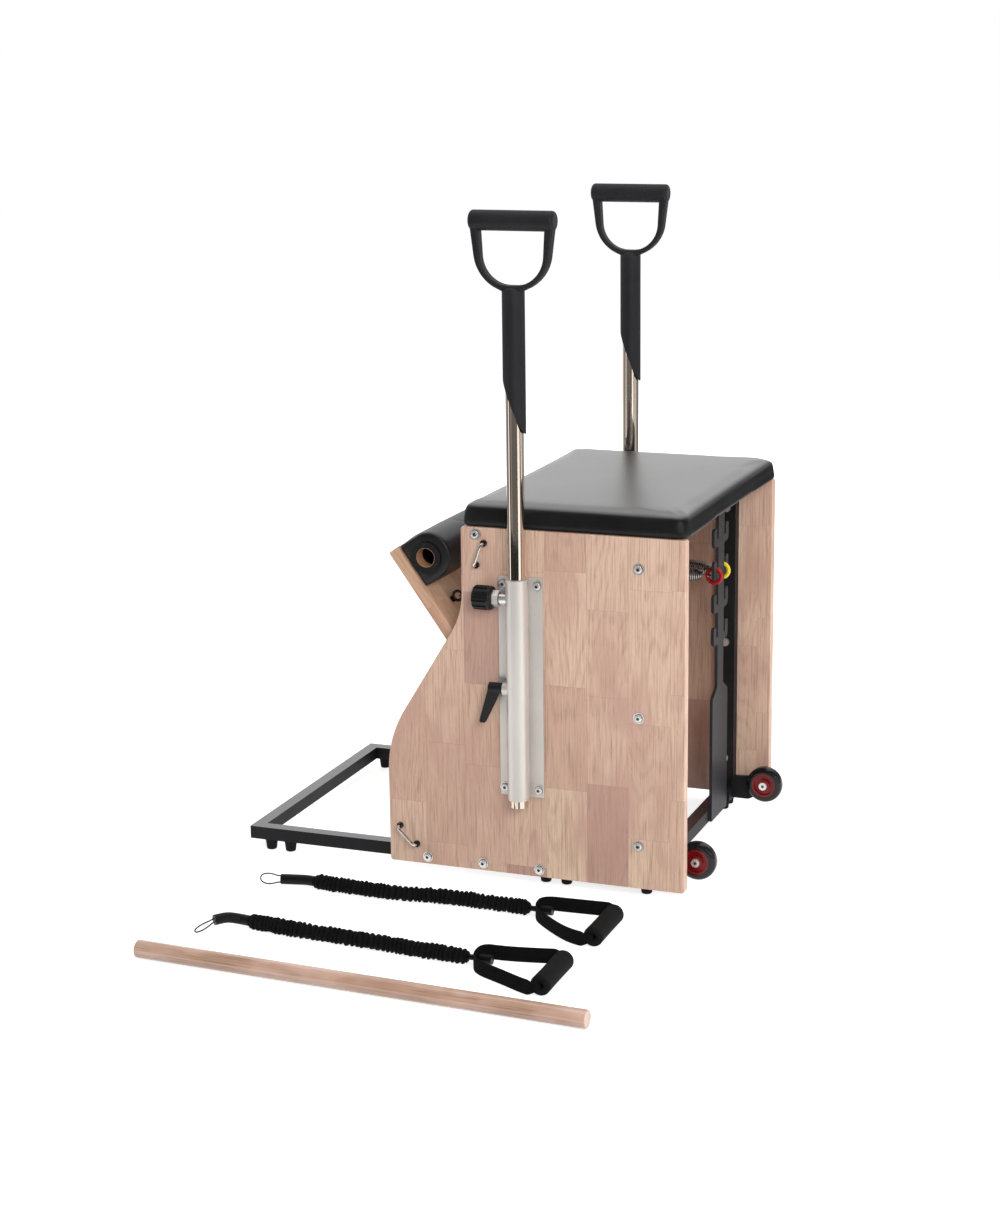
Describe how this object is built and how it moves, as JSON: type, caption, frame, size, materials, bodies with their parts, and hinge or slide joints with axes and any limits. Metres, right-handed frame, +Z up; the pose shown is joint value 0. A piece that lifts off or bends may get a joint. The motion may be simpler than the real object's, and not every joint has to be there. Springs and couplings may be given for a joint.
{
  "type": "pilates chair",
  "caption": "Pilates chair with wooden sides, padded seat, sprung split pedals, height-adjustable D-grip handles and transport wheels, with a loose dowel and resistance bands.",
  "frame": {"origin": "on the floor below the middle of the chair's length, in its middle plane", "axes": "+X towards the sitter's left, -Y towards the front and the pedals, +Z up"},
  "size_m": [1.1223, 0.8205, 1.1025],
  "materials": {
    "panel_wood": "satin lacquered finger-jointed board",
    "board_wood": "raw plywood",
    "pedal_wood": "satin lacquered finger-jointed board",
    "dowel_wood": "satin lacquered hardwood",
    "leatherette": "soft black leatherette",
    "black_coat": "fine black powder coat",
    "rack_coat": "dark grey powder coat",
    "black_rubber": "matt black rubber",
    "black_plastic": "matt black plastic",
    "steel": "bright stainless steel",
    "spring_steel": "drawn spring steel",
    "chrome": "polished chrome",
    "aluminium": "champagne-silver anodised",
    "grip_rubber": "fine textured black rubber",
    "tyre_rubber": "glossy black polyurethane",
    "red_plastic": "glossy red plastic",
    "yellow_plastic": "glossy yellow plastic",
    "band_fabric": "gathered black fabric sleeve",
    "webbing": "black woven webbing",
    "foam": "black foam rubber"
  },
  "bodies": {
    "chair": {"side_panel_left": "panel_wood", "side_panel_right": "panel_wood", "front_seat_bar": "panel_wood", "seat_board": "board_wood", "seat_cushion": "leatherette", "rear_frame": "black_coat", "base_rails": "black_coat", "base_front_bar": "black_coat", "base_cross_bars": "black_coat", "base_feet": "black_rubber", "rail_plugs": "black_plastic", "socket_screws": "steel", "band_eyes": "chrome", "hinge_rod": "steel", "hinge_brackets": "black_coat", "spring_rack_left": "rack_coat", "spring_rack_right": "rack_coat", "rings_red": "red_plastic", "rings_yellow": "yellow_plastic", "mast_sleeve_left": "aluminium", "mast_sleeve_right": "aluminium", "index_housings": "chrome", "wheel_brackets": "black_coat", "wheel_axles": "chrome", "spring_red_left": "spring_steel", "spring_yellow_left": "spring_steel", "spring_red_right": "spring_steel", "spring_yellow_right": "spring_steel"},
    "pedal_left": {"pedal_board_left": "pedal_wood", "pedal_pad_left": "leatherette", "pedal_bushes_left": "black_plastic", "pedal_fittings_left": "steel"},
    "mast_left": {"mast_tube_left": "chrome", "mast_grip_left": "grip_rubber"},
    "index_knob_left": {"index_knob_left": "black_plastic"},
    "clamp_lever_left": {"clamp_lever_left": "black_plastic"},
    "wheel_left": {"wheel_tyre_left": "tyre_rubber", "wheel_hub_left": "red_plastic"},
    "pedal_right": {"pedal_board_right": "pedal_wood", "pedal_pad_right": "leatherette", "pedal_bushes_right": "black_plastic", "pedal_fittings_right": "steel"},
    "mast_right": {"mast_tube_right": "chrome", "mast_grip_right": "grip_rubber"},
    "index_knob_right": {"index_knob_right": "black_plastic"},
    "clamp_lever_right": {"clamp_lever_right": "black_plastic"},
    "wheel_right": {"wheel_tyre_right": "tyre_rubber", "wheel_hub_right": "red_plastic"},
    "dowel": {"pedal_dowel": "dowel_wood"},
    "band_upper": {"band_cord_upper": "band_fabric", "band_ends_upper": "black_rubber", "band_hook_upper": "steel", "band_strap_upper": "webbing", "band_grip_upper": "foam"},
    "band_lower": {"band_cord_lower": "band_fabric", "band_ends_lower": "black_rubber", "band_hook_lower": "steel", "band_strap_lower": "webbing", "band_grip_lower": "foam"}
  },
  "joints": [
    {"name": "pedal_press_left", "type": "hinge", "parent": "chair", "child": "pedal_left", "pos_m": [0, 0.1965, 0.0545], "axis": [1, 0, 0], "range_deg": [0, 50], "stiffness_Nm_per_rad": 40, "springref_deg": -28.65, "deforming": ["spring_red_left", "spring_yellow_left"]},
    {"name": "mast_height_left", "type": "slide", "parent": "chair", "child": "mast_left", "axis": [0, 0, 1], "range_m": [0, 0.2]},
    {"name": "index_pull_left", "type": "slide", "parent": "chair", "child": "index_knob_left", "axis": [0, -1, 0], "range_m": [0, 0.009], "stiffness_N_per_m": 800, "springref_m": -0.004},
    {"name": "clamp_turn_left", "type": "hinge", "parent": "chair", "child": "clamp_lever_left", "pos_m": [0.2948, 0.06, 0.339], "axis": [0, -1, 0], "range_deg": [0, 170]},
    {"name": "wheel_spin_left", "type": "hinge", "parent": "chair", "child": "wheel_left", "pos_m": [0.212, 0.3785, 0.0535], "axis": [1, 0, 0], "continuous": true},
    {"name": "pedal_press_right", "type": "hinge", "parent": "chair", "child": "pedal_right", "pos_m": [0, 0.1965, 0.0545], "axis": [1, 0, 0], "range_deg": [0, 50], "stiffness_Nm_per_rad": 40, "springref_deg": -28.65, "deforming": ["spring_red_right", "spring_yellow_right"]},
    {"name": "mast_height_right", "type": "slide", "parent": "chair", "child": "mast_right", "axis": [0, 0, 1], "range_m": [0, 0.2]},
    {"name": "index_pull_right", "type": "slide", "parent": "chair", "child": "index_knob_right", "axis": [0, -1, 0], "range_m": [0, 0.009], "stiffness_N_per_m": 800, "springref_m": -0.004},
    {"name": "clamp_turn_right", "type": "hinge", "parent": "chair", "child": "clamp_lever_right", "pos_m": [-0.2948, 0.06, 0.339], "axis": [0, 1, 0], "range_deg": [0, 170]},
    {"name": "wheel_spin_right", "type": "hinge", "parent": "chair", "child": "wheel_right", "pos_m": [-0.212, 0.3785, 0.0535], "axis": [1, 0, 0], "continuous": true},
    {"name": "dowel_lift", "type": "slide", "parent": "chair", "child": "dowel", "axis": [0, 0, 1], "range_m": [0, 0.3]},
    {"name": "band_lift_upper", "type": "slide", "parent": "chair", "child": "band_upper", "axis": [0, 0, 1], "range_m": [0, 0.3]},
    {"name": "band_lift_lower", "type": "slide", "parent": "chair", "child": "band_lower", "axis": [0, 0, 1], "range_m": [0, 0.3]}
  ]
}
